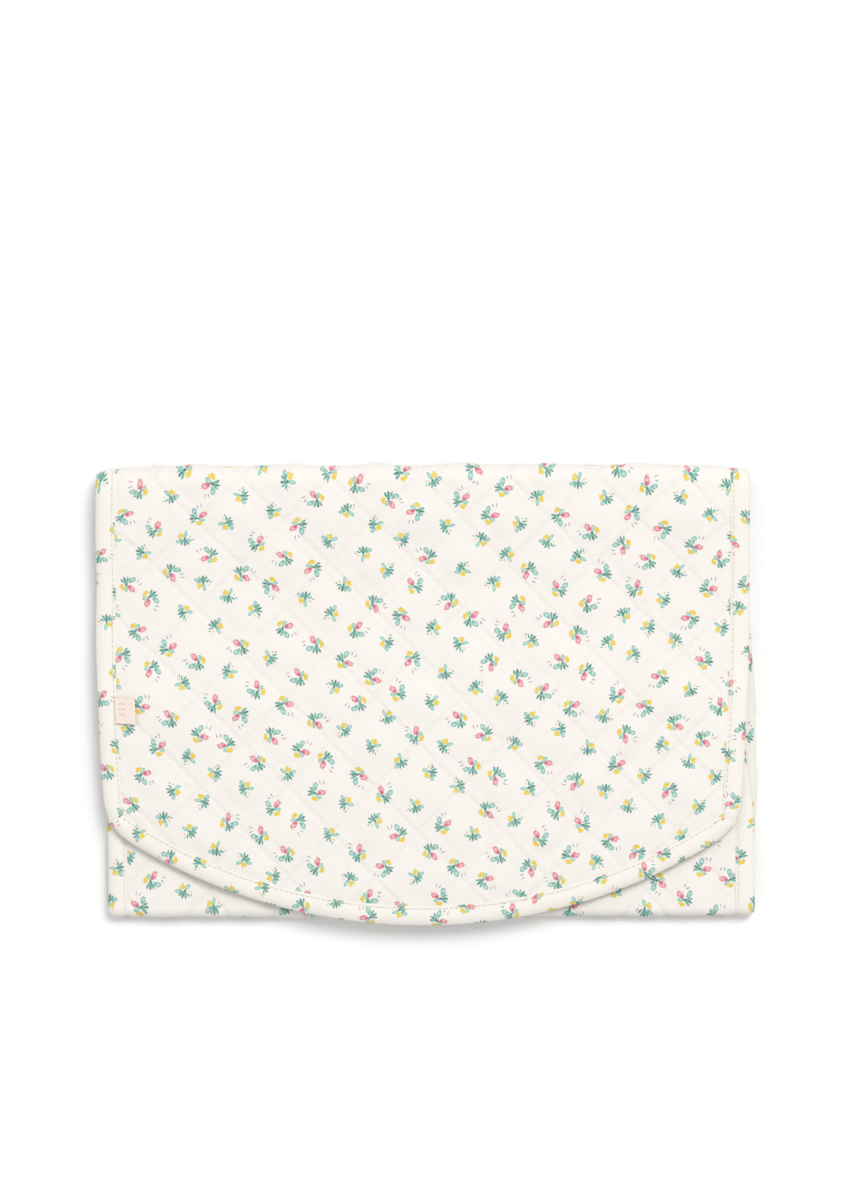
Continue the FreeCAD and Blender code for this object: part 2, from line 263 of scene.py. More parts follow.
def lay(u, s, h):
    """Points of the folded pad for places on the flat strip."""
    u, s, h = np.broadcast_arrays(*(np.asarray(a, float) for a in (u, s, h)))
    y, z, ny, nz = profile(s)
    on_flap = 1 - smooth(s, S_BACK, S_BACK + math.pi / 2 * BACK_R)
    near = np.hypot(np.abs(u) - HALF, s - (CORNER_Y - TIP_Y))
    corner = CORNER_PULL * np.exp(-((near / CORNER_SIZE) ** 2)) * (s < S_BACK)
    x = across(u, s, y, on_flap) - 0.8 * np.sign(u) * corner
    y = at_folds(u, s, y + 0.6 * corner, on_flap)
    z = z + flap_rise(u, s, x, y)
    return np.stack([x, y + ny * h, z + nz * h], axis=-1)


# ------------------------------------------------------------------ sewn relief
def analytic_relief(u, s):
    """Height of the diamonds between the quilting lines, 0 to 1."""
    a = np.abs(np.sin(math.pi * ((u - LINE_U) - (s - LINE_S)) / PITCH))
    b = np.abs(np.sin(math.pi * ((u - LINE_U) + (s - LINE_S)) / PITCH))
    return (a * b) ** PUFF_SHAPE


SIM_CELLS = 14  # of the simulated cloth between two of the quilting's lines
SIM_STEP = PITCH / SIM_CELLS
SIM_FRAMES = 20


def simulated_relief():
    """Cloth held down along its stitching and blown up between: its movement on a grid."""
    first, last = (math.ceil(v / SIM_STEP) for v in (-HALF - LINE_U, HALF - LINE_U))
    top, bottom = (math.ceil(v / SIM_STEP) for v in (-LINE_S, S_END - LINE_S))
    i, j = np.arange(first, last), np.arange(top, bottom)
    us, ss = LINE_U + i * SIM_STEP, LINE_S + j * SIM_STEP
    gu, gs = np.meshgrid(us, ss)
    gi, gj = np.meshgrid(i, j)
    sewn = ((gi + gj) % SIM_CELLS == 0) | ((gi - gj) % SIM_CELLS == 0)
    seam_s = ARC_R - np.sqrt(np.maximum((ARC_R - SEAM) ** 2 - gu**2, 0))
    sewn |= (np.abs(gu) > HALF - SEAM - 0.001) | (gs < seam_s) | (gs > S_END - SEAM)

    rows, cols = gu.shape
    points = np.stack([gu, gs, 0 * gu], axis=-1).reshape(-1, 3)
    index = np.arange(rows * cols).reshape(rows, cols)
    quads = np.stack([index[:-1, :-1], index[:-1, 1:], index[1:, 1:], index[1:, :-1]], axis=-1)
    mesh = bpy.data.meshes.new("relief")
    mesh.from_pydata(points.tolist(), [], quads.reshape(-1, 4).tolist())
    cloth = bpy.data.objects.new("relief", mesh)
    bpy.context.scene.collection.objects.link(cloth)
    held = cloth.vertex_groups.new(name="sewn")
    held.add(np.flatnonzero(sewn.ravel()).tolist(), 1.0, "REPLACE")
    modifier = cloth.modifiers.new("cloth", "CLOTH")
    settings = modifier.settings
    settings.vertex_group_mass = "sewn"
    settings.quality = 5
    settings.mass = 0.05
    settings.tension_stiffness = settings.compression_stiffness = 12
    settings.shear_stiffness = 4
    settings.bending_stiffness = 0.05
    settings.shrink_min = -0.035
    settings.use_pressure = True
    settings.uniform_pressure_force = 4
    settings.effector_weights.gravity = 0
    modifier.collision_settings.use_collision = False
    modifier.collision_settings.use_self_collision = False
    modifier.point_cache.frame_end = SIM_FRAMES + 4
    scene = bpy.context.scene
    for step in range(1, SIM_FRAMES + 1):
        scene.frame_set(step)
    shown = cloth.evaluated_get(bpy.context.evaluated_depsgraph_get())
    moved = np.empty(rows * cols * 3)
    shown.data.vertices.foreach_get("co", moved)
    scene.frame_set(1)
    bpy.data.objects.remove(cloth)
    bpy.data.meshes.remove(mesh)
    moved = (moved.reshape(-1, 3) - points).reshape(rows, cols, 3)
    height = np.abs(moved[..., 2])
    full = max(np.percentile(height, 92), 1e-6)
    print(f"relief: {full * 1000:.2f} mm at the 92nd percentile, {height.max() * 1000:.2f} at most")
    return us, ss, np.minimum(height / full, 1.25)


RELIEF = simulated_relief()


def relief(u, s):
    """How far the quilt stands up at a place, 0 on its stitching and about 1 between."""
    if RELIEF is None:
        return analytic_relief(u, s)
    us, ss, grid = RELIEF
    return 0.5 * sample(grid, us, ss, u, s) + 0.5 * analytic_relief(u, s)


def seam_distance(u, s):
    """How far a place lies inside the bindings' seams."""
    side = HALF - SEAM - np.abs(u)
    arc = (ARC_R - SEAM) - np.hypot(u, s - ARC_R)
    arc = np.where(s > ARC_R, side, arc)
    return np.minimum(np.minimum(side, arc), S_END - SEAM - s)


def puffed(u, s):
    """Height of the quilt's face above its middle plane where nothing presses on it."""
    u, s = np.broadcast_arrays(np.asarray(u, float), np.asarray(s, float))
    inside = seam_distance(u, s)
    rise = smooth(inside, -0.002, 0.010)
    puffs = PUFF * relief(u, s) - STITCH_DIP
    wrinkle = WRINKLE * FINE(u, s) * smooth(inside, 0.0, 0.004)
    return QUILT / 2 - SEAM_DIP * (1 - rise) + (puffs + wrinkle) * (0.35 + 0.65 * rise)


def surface(u, s):
    """Height of the cover above the middle plane, flat where the pad rests on the floor."""
    height = puffed(u, s)
    resting = smooth(s, S_UNDER - 0.008, S_UNDER - 0.002)
    resting = resting * (1 - smooth(s, S_FRONT + 0.001, S_FRONT + 0.004))
    return height - np.maximum(height - QUILT / 2, 0) * resting


def inner_surface(u, s):
    """Height of the lining's face below the middle plane, flat where the quilt folds tight."""
    puffs = 0.6 * (puffed(u, s) - QUILT / 2) - 0.0006
    tight = smooth(s, S_FRONT - 0.008, S_FRONT - 0.001)
    tight = tight * (1 - smooth(s, S_LOWER + 0.001, S_LOWER + 0.008))
    return QUILT / 2 + puffs * (1 - tight) - 0.0004 * tight


# ------------------------------------------------------------------ meshes
SHARP = math.radians(65)  # faces that meet at more than this have a hard edge between them


def lengths(points):
    """Distance of each point along a run of points from the first."""
    steps = np.linalg.norm(np.diff(points, axis=0), axis=1)
    return np.concatenate([[0], np.cumsum(steps)])


def new_object(name, points, faces, uvs=None):
    """A mesh object from arrays, with one UV per vertex where given."""
    mesh = bpy.data.meshes.new(name)
    mesh.from_pydata(np.asarray(points, float).reshape(-1, 3).tolist(), [], faces)
    if uvs is not None:
        loops = np.empty(len(mesh.loops), dtype=np.int32)
        mesh.loops.foreach_get("vertex_index", loops)
        layer = mesh.uv_layers.new(name="cloth")
        layer.data.foreach_set("uv", np.asarray(uvs, float).reshape(-1, 2)[loops].ravel())
    mesh.polygons.foreach_set("use_smooth", [True] * len(mesh.polygons))
    mesh.update()
    mesh.set_sharp_from_angle(angle=SHARP)
    obj = bpy.data.objects.new(name, mesh)
    bpy.context.scene.collection.objects.link(obj)
    return obj


def grid_faces(rows, cols, start=0, flip=False, closed=False):
    """Quads over a grid of vertices; closed joins the last column to the first."""
    wide = cols if closed else cols - 1
    j, i = np.meshgrid(np.arange(rows - 1), np.arange(wide), indexing="ij")
    a, b = j * cols + i, j * cols + (i + 1) % cols
    quads = np.stack([a, b, b + cols, a + cols], axis=-1).reshape(-1, 4) + start
    return (quads[:, ::-1] if flip else quads).tolist()


def between(name, top, bottom, flat, upward=True):
    """A closed sheet between two grids of points; flat holds the cloth's coordinates."""
    rows, cols = top.shape[:2]
    count = rows * cols
    faces = grid_faces(rows, cols, 0, not upward) + grid_faces(rows, cols, count, upward)
    grid = np.arange(count).reshape(rows, cols)
    rim = np.concatenate([grid[0], grid[1:, -1], grid[-1, -2::-1], grid[-2:0:-1, 0]])
    after = np.roll(rim, -1)
    sides = np.stack([rim, rim + count, after + count, after], axis=-1)
    faces += (sides if upward else sides[:, ::-1]).tolist()
    points = np.concatenate([top.reshape(-1, 3), bottom.reshape(-1, 3)])
    return new_object(name, points, faces, np.concatenate([flat.reshape(-1, 2)] * 2))


def shell(name, u, s, outer, inner):
    """A closed sheet over a grid of u, s between two heights."""
    upward = np.mean(outer) > np.mean(inner)
    return between(name, lay(u, s, outer), lay(u, s, inner), np.stack([u, s], axis=-1), upward)


def rows_along(start, end, step):
    """Places along the strip from start to end, closer together round the folds."""
    marks = [start]
    folds = ((S_BACK - 0.004, S_UNDER, BACK_R), (S_FRONT - 0.004, S_LOWER, FRONT_R))
    while marks[-1] < end - 1e-6:
        here = marks[-1]
        size = step
        for low, high, radius in folds:
            if low <= here < high:
                size = min(step, radius * math.radians(6))
            elif here < low < here + size:
                size = low - here + 1e-7
        marks.append(min(here + size, end))
    if len(marks) > 2 and marks[-1] - marks[-2] < 0.3 * (marks[-2] - marks[-3]):
        marks.pop(-2)
    return np.array(marks)


def arc_s(u, inset):
    """Where the flap's arc, drawn in by inset, crosses a line along the strip."""
    return ARC_R - np.sqrt((ARC_R - inset) ** 2 - u**2)


def panel_grid(stretch, inset, step):
    """u, s over one stretch of the quilt, inset from its bound edges."""
    k = STRETCHES.index(stretch)
    start, end = S_CUTS[k], S_CUTS[k + 1]
    half = HALF - inset
    u = np.linspace(-half, half, int(2 * half / step) + 1)
    if stretch == "flap":
        bent = arc_s(u, inset)
        base = rows_along(float(arc_s(0.0, inset)), end, step)
        share = smooth(base, end - 0.06, base[0])[:, None]
        s = base[:, None] + (bent - bent.min())[None, :] * share
        s[-1] = end
    else:
        last = end - inset if stretch == "lower" else end
        s = np.repeat(rows_along(start, last, step)[:, None], len(u), axis=1)
    return np.broadcast_to(u, s.shape).copy(), s


def across_fold(piece, stretch):
    """Bake a piece's place into its mesh and give the piece back."""
    if stretch == "flap":
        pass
    elif stretch == "middle_back":
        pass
    elif stretch == "middle_front":
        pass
    else:
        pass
    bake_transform(piece)
    return piece


def nodes_for(stretch, layer):
    """The CAD nodes that one stretch's layer stands for."""
    panel, fold = {
        "flap": ("flap", "back_fold"),
        "middle_back": ("middle", "back_fold"),
        "middle_front": ("middle", "front_fold"),
        "lower": ("lower", "front_fold"),
    }[stretch]
    return f"{panel}_{layer}", f"{fold}_{layer}"


COVER_STEP = 0.0025
UNDER_BINDING = 0.0025  # how far cover and lining run on under the bindings


def cover(stretch):
    """The printed cotton on the outer side of the quilt."""
    u, s = panel_grid(stretch, SEAM - UNDER_BINDING, COVER_STEP)
    height = surface(u, s)
    piece = shell(f"{stretch}_cover_cloth", u, s, height, height - CLOTH)
    return across_fold(piece, stretch)


def lining(stretch):
    """The plain cotton on its inner side."""
    u, s = panel_grid(stretch, SEAM - UNDER_BINDING, COVER_STEP * 1.4)
    height = -inner_surface(u, s)
    piece = shell(f"{stretch}_lining_cloth", u, s, height, height + CLOTH)
    return across_fold(piece, stretch)


def batting(stretch):
    """The wadding between them, running into the bindings."""
    u, s = panel_grid(stretch, 0.0022, COVER_STEP * 1.8)
    inside = smooth(seam_distance(u, s), -0.011, 0.002)
    top = surface(u, s) - CLOTH - 0.0003 - 0.0010 * (1 - inside)
    low = -(inner_surface(u, s) - CLOTH - 0.0003)
    low = low + 0.0010 * (1 - inside)
    piece = shell(f"{stretch}_wadding", u, s, top, low)
    return across_fold(piece, stretch)


# Section of a binding: (inset from the pad's outline, height), from the cover's seam
# round the edge to the lining's seam and back inside.
T = QUILT / 2
SECTION = [
    (SEAM - 0.0004, T - 0.0016), (SEAM, T - 0.0012), (SEAM + 0.0001, T - 0.0008),
    (SEAM - 0.0003, T - 0.0005), (SEAM - 0.0010, T - 0.0005), (SEAM - 0.0016, T - 0.0007),
    (SEAM - 0.0024, T - 0.0004), (SEAM - 0.0038, T - 0.0002), (0.0065, T + 0.0000),
    (0.0042, T - 0.0002), (0.0024, T - 0.0008), (0.0010, T - 0.0018), (0.0002, T * 0.25),
]  # fmt: skip
SECTION += [(a, -h) for a, h in reversed(SECTION)]
INSIDE = [(SEAM - 0.0016, -T + 0.0020), (0.0042, -T + 0.0016), (0.0024, 0.0)]
SECTION += INSIDE + [(a, -h) for a, h in reversed(INSIDE[:-1])]
SECTION = np.array(SECTION)
INSET, HEIGHT = SECTION.T
AROUND = lengths(SECTION)
BINDING_STEP = 0.0025


def tube(name, u, s, h, uv):
    """A closed tube of section rings, laid on the pad. Rows are rings."""
    rows, cols = u.shape
    points = lay(u, s, h).reshape(-1, 3)
    faces = grid_faces(rows, cols, closed=True)
    faces.append(list(range(cols))[::-1])
    faces.append([(rows - 1) * cols + i for i in range(cols)])
    obj = new_object(name, points, faces, uv)
    mesh = obj.data
    first = mesh.polygons[0]
    centre = points.reshape(rows, cols, 3)[:2].mean(axis=(0, 1))
    if np.dot(np.array(first.normal), np.array(first.center) - centre) < 0:
        mesh.flip_normals()
    return obj


def puckered(u, s):
    """Heights of the binding's section at places on the strip, slightly uneven."""
    middle = np.sin(math.pi * np.clip(INSET / SEAM, 0, 1))
    return HEIGHT * (0.90 + 0.10 * middle * FINE(u * 0.7 + 0.01, s) + 0.05 * SOFT(u, s))


def mitre_dip(distance):
    """How far the binding is drawn down close to a mitre."""
    return 1 - 0.28 * np.exp(-((distance / 0.0016) ** 2))


MITRE_RUN = 0.05  # length over which a side binding's rings turn to its mitre


def side_binding(stretch, word, side):
    """The binding down one side of one stretch, mitred where the stretch has a corner."""
    k = STRETCHES.index(stretch)
    start, end = S_CUTS[k], S_CUTS[k + 1]
    u = side * (HALF - INSET)
    first = arc_s(u, INSET) if stretch == "flap" else start + 0 * INSET
    last = end - INSET if stretch == "lower" else end + 0 * INSET
    base = rows_along(float(first.min()), end, BINDING_STEP)[:, None]
    s = base + (first - base[0]) * smooth(base, base[0] + MITRE_RUN, base[0])
    s = s + (last - end) * smooth(base, end - MITRE_RUN, end)
    u = np.broadcast_to(u, s.shape)
    h = puckered(u, s)
    if stretch == "flap":
        h = h * mitre_dip(s - first)
    if stretch == "lower":
        h = h * mitre_dip(last - s)
    uv = np.stack([side * AROUND + 0.031 * side + 0 * s, s + 0.043], axis=-1)
    piece = tube(f"{stretch}_{word}_binding_tape", u, s, h, uv)
    return across_fold(piece, stretch)


def curved_binding():
    """The binding along the flap's arc, from mitre to mitre."""
    radius = ARC_R - INSET
    ends = np.arcsin((HALF - INSET) / radius)
    count = int(2 * ends.max() * ARC_R / BINDING_STEP)
    turn = np.linspace(-1, 1, count)[:, None] * ends
    u, s = radius * np.sin(turn), ARC_R - radius * np.cos(turn)
    h = puckered(u, s) * mitre_dip((ends - np.abs(turn)) * radius)
    uv = np.stack([turn * ARC_R + 0.011, AROUND + 0.027 + 0 * turn], axis=-1)
    return riding(tube("flap_curved_binding_tape", u, s, h, uv), "flap")


def end_binding():
    """The straight binding across the lower panel's free end."""
    count = int(2 * HALF / BINDING_STEP)
    u = np.linspace(-1, 1, count)[:, None] * (HALF - INSET)
    s = np.broadcast_to(S_END - INSET, u.shape)
    h = puckered(u, s) * mitre_dip(HALF - INSET - np.abs(u))
    uv = np.stack([u, AROUND + 0.057 + 0 * u], axis=-1)
    return riding(tube("lower_end_binding_tape", u, s, h, uv), "lower_panel")


def riding(piece, body):
    """Ride a piece on a body and give the piece back."""
    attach(piece, body)
    return piece


# ------------------------------------------------------------------ thread
STITCH, STITCH_GAP = 0.0027, 0.0008
STITCH_PARTS = np.array([0.0, 0.28, 0.72, 1.0])  # where along a stitch its four rings are
TUCK = np.array([-0.00035, 0.0001, 0.0001, -0.00035])  # and how high over the cloth
PATCH_TUCK = np.array([-0.0003, 0.0001, 0.0001, -0.0003])
THREAD = 0.00022
RING = 5


def capsules(points, up, flatness):
    """Closed stitches along lines of (stitch, 4) points, up being away from the cloth."""
    ahead = np.gradient(points, axis=1)
    ahead /= np.linalg.norm(ahead, axis=-1, keepdims=True) + 1e-12
    sideways = np.cross(ahead, up)
    radius = THREAD * np.array([0.55, 1.0, 1.0, 0.55])[None, :, None, None]
    turn = np.linspace(0, 2 * math.pi, RING, endpoint=False)[None, None, :, None]
    ring = np.cos(turn) * sideways[:, :, None, :] + flatness * np.sin(turn) * up[:, :, None, :]
    return (points[:, :, None, :] + radius * ring).reshape(-1, 4 * RING, 3)


def stitched(u, s, h):
    """Stitches on the pad; u, s, h are (stitch, 4) with the ends tucked in."""
    points = lay(u, s, h)
    up = lay(u, s, h + 0.0005) - points
    up /= np.linalg.norm(up, axis=-1, keepdims=True)
    return capsules(points, up, 0.8)


def thread_object(name, groups):
    """One object of all the stitches in groups of capsules."""
    stitches = np.concatenate(groups)
    one = []
    for k in range(3):
        for i in range(RING):
            a, b = k * RING + i, k * RING + (i + 1) % RING
            one.append([a, b, b + RING, a + RING])
    one += [list(range(RING))[::-1], [3 * RING + i for i in range(RING)]]
    faces = []
    for base in range(0, len(stitches) * 4 * RING, 4 * RING):
        faces += [[v + base for v in face] for face in one]
    return new_object(name, stitches, faces)


def stitch_run(start, end, place):
    """u, s of stitches from start to end, where place(t) gives them for distances t."""
    step = STITCH + STITCH_GAP
    count = max(int((end - start) / step), 1)
    begin = start + step * np.arange(count)[:, None]
    return place(begin + STITCH * STITCH_PARTS)


def face_height(u, s, side):
    """Height of the cover (side 1) or of the lining (side -1)."""
    return surface(u, s) if side > 0 else inner_surface(u, s)


DIAGONAL = math.sqrt(2)


def quilting(stretch, side):
    """The diagonal lines of stitches over one stretch and one face."""
    k = STRETCHES.index(stretch)
    start, end = S_CUTS[k], S_CUTS[k + 1]
    groups = []
    reach = int((2 * HALF + S_END) / PITCH) + 2
    for slope in (-1, 1):
        for n in range(-reach, reach + 1):
            offset = LINE_U - slope * LINE_S + n * PITCH  # u = offset + slope * s
            u, s = stitch_run(
                start * DIAGONAL, end * DIAGONAL,
                lambda t, o=offset, m=slope: (o + m * t / DIAGONAL, t / DIAGONAL),
            )  # fmt: skip
            keep = (seam_distance(u, s).min(axis=1) > 0.0015) & (s.min(axis=1) > start)
            keep &= s.max(axis=1) < end
            if keep.any():
                u, s = u[keep], s[keep]
                groups.append(stitched(u, s, side * (face_height(u, s, side) + TUCK)))
    return groups


TOPSTITCH_INSET = SEAM - 0.0017
TOPSTITCH_HEIGHT = QUILT / 2 - 0.0006


def topstitching(stretch, side):
    """Stitches along the bindings of one stretch, on one face."""
    k = STRETCHES.index(stretch)
    start, end = S_CUTS[k], S_CUTS[k + 1]
    radius, reach = ARC_R - TOPSTITCH_INSET, HALF - TOPSTITCH_INSET
    bend = math.asin(reach / radius) * radius
    if stretch == "flap":
        start = float(arc_s(reach, TOPSTITCH_INSET))
    if stretch == "lower":
        end = end - TOPSTITCH_INSET

    def on_arc(t):
        return radius * np.sin(t / radius), ARC_R - radius * np.cos(t / radius)

    runs = [(start, end, lambda t, w=way: (w * reach + 0 * t, t)) for way in (-1, 1)]
    if stretch == "flap":
        runs.append((-bend, bend, on_arc))
    if stretch == "lower":
        runs.append((-reach, reach, lambda t: (t, end + 0 * t)))
    groups = []
    for first, last, place in runs:
        u, s = stitch_run(first + 0.001, last, place)
        groups.append(stitched(u, s, side * (TOPSTITCH_HEIGHT + TUCK)))
    return groups


def threads(stretch, word, side):
    """All the stitches that show on one face of one stretch: quilting and topstitching."""
    quilted = thread_object(f"{stretch}_{word}_quilting_thread", quilting(stretch, side))
    edged = thread_object(f"{stretch}_{word}_binding_thread", topstitching(stretch, side))
    across_fold(quilted, stretch)
    across_fold(edged, stretch)
    return quilted, edged


# ------------------------------------------------------------------ label
def side_label():
    """A woven tape folded in two, with both ends in the flap's left seam."""
    low, high = low_high("side_label")
    length, width = high[0] - low[0], high[1] - low[1]
    s_mid = (low[1] + high[1]) / 2 - TIP_Y + 0.0014
    u_seam = -HALF + SEAM - 0.0012
    rise, tape = 0.0025, 0.00028
    outward = np.linspace(0, 1, 12)
    upper = [(t * length, 0.0010 + rise * t**2 + 0.0004 * math.sin(3 * t)) for t in outward]
    end_x, end_h = upper[-1]
    loop = [
        (end_x + 0.0004 * math.sin(a), end_h - 0.0004 + 0.0004 * math.cos(a))
        for a in np.linspace(0, math.pi, 7)[1:-1]
    ]
    under = [(t * length, 0.0005 + (rise - 0.0003) * t**2) for t in outward[::-1]]
    route = np.array(upper + loop + under)
    tangent = np.gradient(route, axis=0)
    tangent /= np.linalg.norm(tangent, axis=1, keepdims=True)
    normal = np.stack([-tangent[:, 1], tangent[:, 0]], axis=1)
    wide = np.linspace(-0.5, 0.5, 9)[None, :]
    grids = []
    for shift in (tape / 2, -tape / 2):
        place = route + normal * shift
        out = place[:, :1]
        s = s_mid + wide * width - 0.0006 * out / length
        curl = 0.0012 * np.maximum(-wide - 0.1, 0) * out / length
        grids.append(lay(u_seam + out, s, QUILT / 2 - 0.0007 + place[:, 1:] + curl))
    flat = np.stack(np.broadcast_arrays(lengths(route)[:, None], wide * width), axis=-1)
    return riding(between("side_label_tape", *grids, flat), "flap")


# ------------------------------------------------------------------ patches
def patch_thread(node, body):
    """Stitches just inside a patch's edge."""
    low, high = low_high(node)
    z, way = (high[2], 1) if node == "loop_patch" else (low[2], -1)
    inset, corner = 0.0016, 0.0030
    x0, y0 = low[:2] + inset + corner
    x1, y1 = high[:2] - inset - corner
    path = []
    for x, y, first in ((x1, y1, 0), (x0, y1, 90), (x0, y0, 180), (x1, y0, 270)):
        for turn in np.radians(np.linspace(first, first + 90, 7)):
            path.append((x + corner * math.cos(turn), y + corner * math.sin(turn)))
    path = np.array(path + path[:1])
    along = lengths(path)
    begin = np.arange(0, along[-1] - STITCH, STITCH + STITCH_GAP)[:, None]
    t = begin + STITCH * STITCH_PARTS
    x, y = np.interp(t, along, path[:, 0]), np.interp(t, along, path[:, 1])
    points = np.stack([x, y, z + way * PATCH_TUCK + 0 * x], axis=-1)
    stitches = capsules(points, np.array([0, 0, 1.0]) + 0 * points, 1.0)
    return riding(thread_object(f"{node}_thread", [stitches]), body)


# ------------------------------------------------------------------ materials
class Nodes:
    """Short ways to add shader nodes to one tree."""

    def __init__(self, tree):
        self.tree = tree

    def feed(self, socket, value):
        """Link a socket to another one, or set it to a constant."""
        if isinstance(value, bpy.types.NodeSocket):
            self.tree.links.new(value, socket)
        else:
            socket.default_value = value

    def add(self, kind, inputs=None, **settings):
        """A node with its settings, and its inputs set to sockets or constants."""
        node = self.tree.nodes.new("ShaderNode" + kind)
        for key, value in settings.items():
            setattr(node, key, value)
        for key, value in (inputs or {}).items():
            self.feed(node.inputs[key], value)
        return node

    def math(self, operation, *values):
        """A Math node's result."""
        return self.add("Math", dict(enumerate(values)), operation=operation).outputs[0]

    def vector(self, operation, *values):
        """A Vector Math node's vector."""
        return self.add("VectorMath", dict(enumerate(values)), operation=operation).outputs[0]

    def scale(self, vector, factor):
        """A vector times a number."""
        node = self.add("VectorMath", {0: vector, "Scale": factor}, operation="SCALE")
        return node.outputs[0]

    def noise(self, where, scale, detail, output="Fac", **inputs):
        """A noise texture's value or colour."""
        inputs = {"Vector": where, "Scale": scale, "Detail": detail, **inputs}
        return self.add("TexNoise", inputs).outputs[output]

    def mix(self, share, low, high, blend="MIX"):
        """A colour between two colours, or another blend of them."""
        node = self.add("Mix", data_type="RGBA", blend_type=blend)
        for index, value in ((0, share), (6, low), (7, high)):
            self.feed(node.inputs[index], value)
        return node.outputs[2]

    def ramp(self, value, low, high, out_low=0.0, out_high=1.0, kind="SMOOTHSTEP"):
        """A value mapped from low..high to another range."""
        node = self.add(
            "MapRange",
            {"Value": value, 1: low, 2: high, 3: out_low, 4: out_high},
            interpolation_type=kind,
        )
        return node.outputs[0]


BRIGHTNESS = 1.30  # of white cloth in this light


def seen(red, green, blue):
    """The linear colour of a cloth that looks like an sRGB one of 0 to 255 in this light."""
    values = [c / 255 for c in (red, green, blue)]
    linear = [c / 12.92 if c < 0.04045 else ((c + 0.055) / 1.055) ** 2.4 for c in values]
    return (*(c / BRIGHTNESS for c in linear), 1.0)


IVORY = seen(247, 243, 237)
TEAL, DARK_TEAL, MINT = seen(96, 184, 156), seen(46, 106, 108), seen(170, 220, 212)
WASH = seen(204, 234, 222)
YELLOW, AMBER = seen(240, 216, 72), seen(228, 196, 58)
ROSE, BLUSH, MAUVE = seen(218, 98, 128), seen(247, 184, 190), seen(206, 150, 168)
TAN, GREY_TEAL = seen(240, 206, 158), seen(118, 172, 164)
PEACH, WOVEN_PINK = seen(248, 233, 219), seen(222, 178, 184)

SPACING = 0.0206  # between the printed sprigs
LATTICE_TURN = 0.47  # of the lattice that they stand on
SPRIG = 0.00097  # size of one unit of the sprigs below
LARGE_SHARE = 0.56  # of the sprigs
MIRROR_ABOVE = 0.62  # a sprig's draw of 0 to 1 above which it is mirrored
BRUSH = 0.0011  # how far the strokes' edges waver

# The print's two sprigs as brush strokes: (x, y, half length, half width, degrees, colour,
# rim colour), about the sprig's middle.
LARGE_SPRIG = [
    (-1.7, 3.4, 3.3, 2.1, 175, WASH, WASH), (2.6, 3.3, 2.3, 1.65, 15, MINT, GREY_TEAL),
    (1.0, 2.1, 1.3, 0.55, 40, TEAL, GREY_TEAL), (-3.8, 3.3, 2.0, 0.66, 132, TEAL, DARK_TEAL),
    (-2.3, 4.3, 2.0, 0.66, 106, DARK_TEAL, DARK_TEAL), (-0.4, 4.2, 1.9, 0.60, 78, TEAL, DARK_TEAL),
    (-1.8, 1.3, 1.5, 0.95, 84, DARK_TEAL, TEAL), (-2.3, -1.8, 2.2, 1.15, 80, MINT, TEAL),
    (-5.2, 0.1, 1.8, 1.35, 70, YELLOW, AMBER), (-4.6, -1.3, 1.7, 1.15, 110, YELLOW, AMBER),
    (0.9, -2.5, 2.7, 1.8, 118, BLUSH, ROSE),
    (-0.3, -1.3, 1.7, 0.75, 130, ROSE, ROSE), (3.3, -4.2, 1.2, 0.4, 115, TAN, TAN),
    (6.0, 1.6, 1.2, 0.42, 50, GREY_TEAL, GREY_TEAL), (7.2, -0.6, 1.5, 0.4, 20, MAUVE, MAUVE),
]  # fmt: skip
SMALL_SPRIG = [
    (0.4, 2.7, 3.5, 2.0, 5, WASH, WASH), (3.9, 2.0, 2.1, 1.3, 24, MINT, GREY_TEAL),
    (2.5, 1.4, 1.2, 0.55, 30, TEAL, GREY_TEAL), (-1.5, 3.2, 2.0, 0.66, 116, TEAL, DARK_TEAL),
    (0.2, 3.5, 2.0, 0.66, 90, DARK_TEAL, DARK_TEAL), (1.9, 3.0, 1.9, 0.60, 62, TEAL, DARK_TEAL),
    (-3.0, 1.9, 1.7, 0.54, 146, DARK_TEAL, TEAL), (0.0, 0.8, 1.4, 0.90, 80, DARK_TEAL, TEAL),
    (-0.8, -2.4, 2.3, 1.10, 74, MINT, TEAL), (2.5, -0.9, 1.9, 1.25, 10, YELLOW, AMBER),
    (2.1, -2.1, 1.7, 1.05, -35, YELLOW, AMBER),
    (-3.4, -0.4, 1.1, 0.45, 30, AMBER, TAN), (-5.0, 1.4, 1.1, 0.38, -35, GREY_TEAL, GREY_TEAL),
]  # fmt: skip


def ellipse(n, point, x, y, long, wide, degrees):
    """Distance of a point from an ellipse's middle, 1 on the ellipse."""
    place = n.add(
        "Mapping",
        {
            "Vector": point,
            "Location": (x, y, 0),
            "Rotation": (0, 0, math.radians(degrees)),
            "Scale": (long, wide, 1),
        },
        vector_type="TEXTURE",
    ).outputs[0]
    return n.add("VectorMath", {0: place}, operation="LENGTH").outputs[1]


